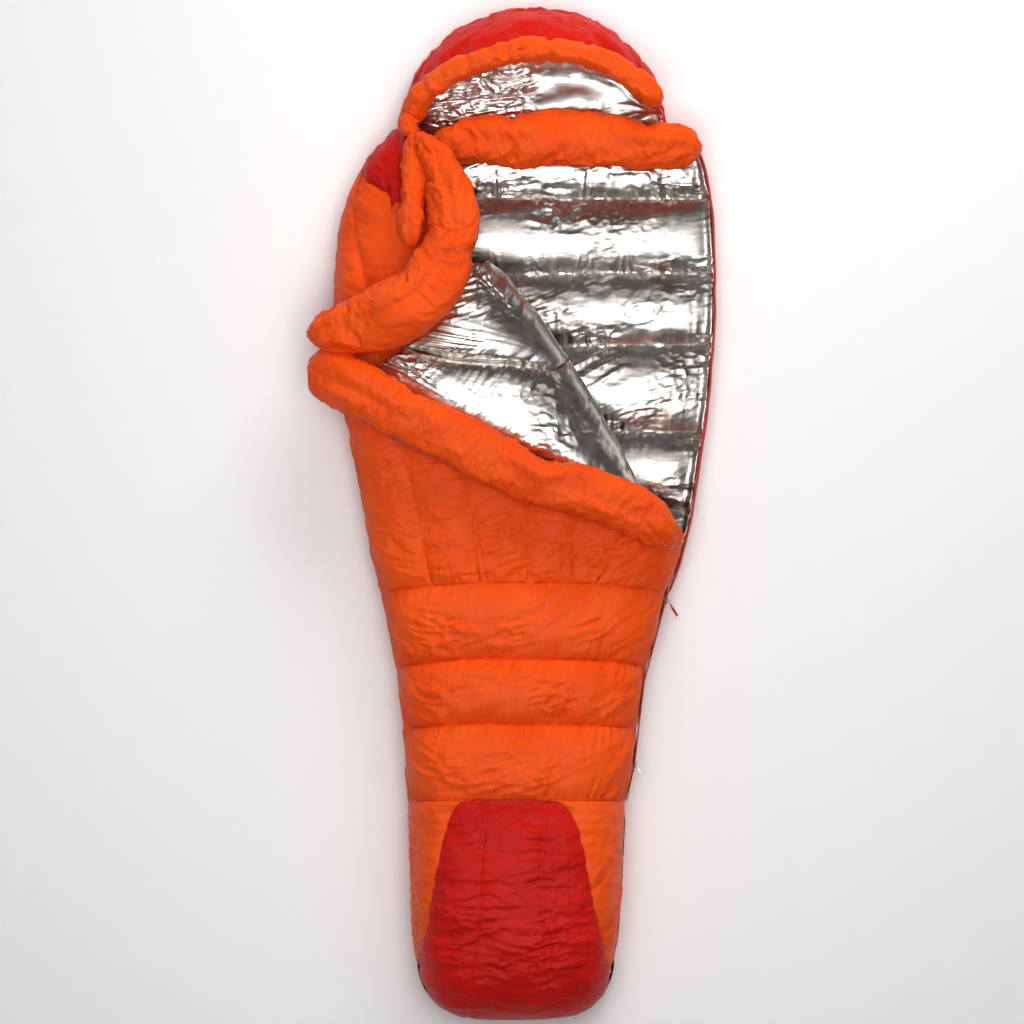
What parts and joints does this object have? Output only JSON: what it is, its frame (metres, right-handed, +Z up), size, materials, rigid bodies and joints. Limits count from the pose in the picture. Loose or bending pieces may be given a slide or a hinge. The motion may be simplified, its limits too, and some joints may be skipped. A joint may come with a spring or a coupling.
{
  "type": "mummy sleeping bag",
  "caption": "Expedition mummy sleeping bag with quilted chambers, hood, boxed foot and side zip, laid on its back with the front flap folded open.",
  "frame": {"origin": "on the floor under the middle of the bag's box", "axes": "+Y runs to the head end, +Z is up from the floor that the bag lies on, and +X is the zip side"},
  "size_m": [0.8436, 2.098, 0.2612],
  "materials": {
    "shell_orange": "light ripstop nylon, soft sheen",
    "shell_red": "light ripstop nylon, soft sheen",
    "lining_silver": "metallised lining, crinkled and glossy",
    "baffle_mesh": "light mesh",
    "zip_tape": "woven polyester tape",
    "zip_teeth": "moulded coil",
    "zip_metal": "dark painted die-cast",
    "tab_metal": "satin",
    "pull_cord": "braided cord",
    "pull_grip": "matte moulded grip"
  },
  "bodies": {
    "bag": {"back_chamber_1": "shell_orange", "back_chamber_2": "shell_orange", "back_chamber_3": "shell_orange", "back_chamber_4": "shell_orange", "back_chamber_5": "shell_orange", "back_chamber_6": "shell_orange", "back_chamber_7": "shell_orange", "back_chamber_8": "shell_orange", "back_chamber_9": "shell_orange", "front_chamber_1": "shell_orange", "front_chamber_2": "shell_orange", "front_chamber_3": "shell_orange", "chest_chamber_1": "shell_orange", "chest_chamber_2": "shell_orange", "chest_chamber_3": "shell_orange", "chest_chamber_4": "shell_orange", "chest_chamber_5": "shell_orange", "chest_chamber_6": "shell_orange", "foot_side_left": "shell_orange", "foot_side_right": "shell_orange", "foot_back": "shell_orange", "back_collar": "shell_orange", "neck_tube": "shell_orange", "left_collar": "shell_orange", "fold_roll": "shell_orange", "shoulder_yoke": "shell_red", "foot_centre_panel": "shell_red", "foot_sole": "shell_red", "back_lining": "lining_silver", "chest_lining": "lining_silver", "leg_lining": "lining_silver", "back_baffles": "baffle_mesh", "front_baffles": "baffle_mesh", "chest_baffles": "baffle_mesh", "back_zip_tape": "zip_tape", "front_zip_tape": "zip_tape", "closed_zip_tapes": "zip_tape", "back_zip_teeth": "zip_teeth", "closed_zip_teeth": "zip_teeth", "zip_bottom_stop": "zip_metal", "zip_top_stop": "zip_metal"},
    "flap": {"flap_chamber_1": "shell_orange", "flap_chamber_2": "shell_orange", "flap_collar": "shell_orange", "flap_draft_tube": "shell_orange", "flap_lining": "lining_silver", "flap_zip_tape": "zip_tape", "flap_zip_teeth": "zip_teeth"},
    "hood": {"hood_brim": "shell_orange", "hood_crown": "shell_red", "hood_back": "shell_red", "hood_lining": "lining_silver"},
    "upper_slider": {"upper_slider_body": "zip_metal"},
    "upper_pull": {"upper_pull_eye": "zip_metal", "upper_pull_cord": "pull_cord", "upper_pull_grip": "pull_grip"},
    "lower_slider": {"lower_slider_body": "zip_metal"},
    "lower_tab": {"lower_pull_tab": "tab_metal"}
  },
  "joints": [
    {"name": "flap_fold", "type": "hinge", "parent": "bag", "child": "flap", "pos_m": [-0.169, 0.663, 0.168], "axis": [-0.5698, 0.8197, 0.0588], "range_deg": [0, 130], "deforming": ["fold_roll"]},
    {"name": "hood_tilt", "type": "hinge", "parent": "bag", "child": "hood", "pos_m": [0.045, 0.793, 0], "axis": [1, 0, 0], "range_deg": [0, 15]},
    {"name": "upper_slider_travel", "type": "slide", "parent": "bag", "child": "upper_slider", "axis": [-0.2566, -0.9665, 0], "range_m": [0, 0.14]},
    {"name": "upper_pull_swing", "type": "hinge", "parent": "upper_slider", "child": "upper_pull", "pos_m": [0.32449, -0.18524, 0.052], "axis": [0, 0, 1], "range_deg": [-30, 95]},
    {"name": "lower_slider_travel", "type": "slide", "parent": "bag", "child": "lower_slider", "axis": [0.1178, 0.993, 0], "range_m": [0, 0.12]},
    {"name": "lower_tab_swing", "type": "hinge", "parent": "lower_slider", "child": "lower_tab", "pos_m": [0.25943, -0.52573, 0.052], "axis": [0, 0, 1], "range_deg": [-15, 110]}
  ]
}
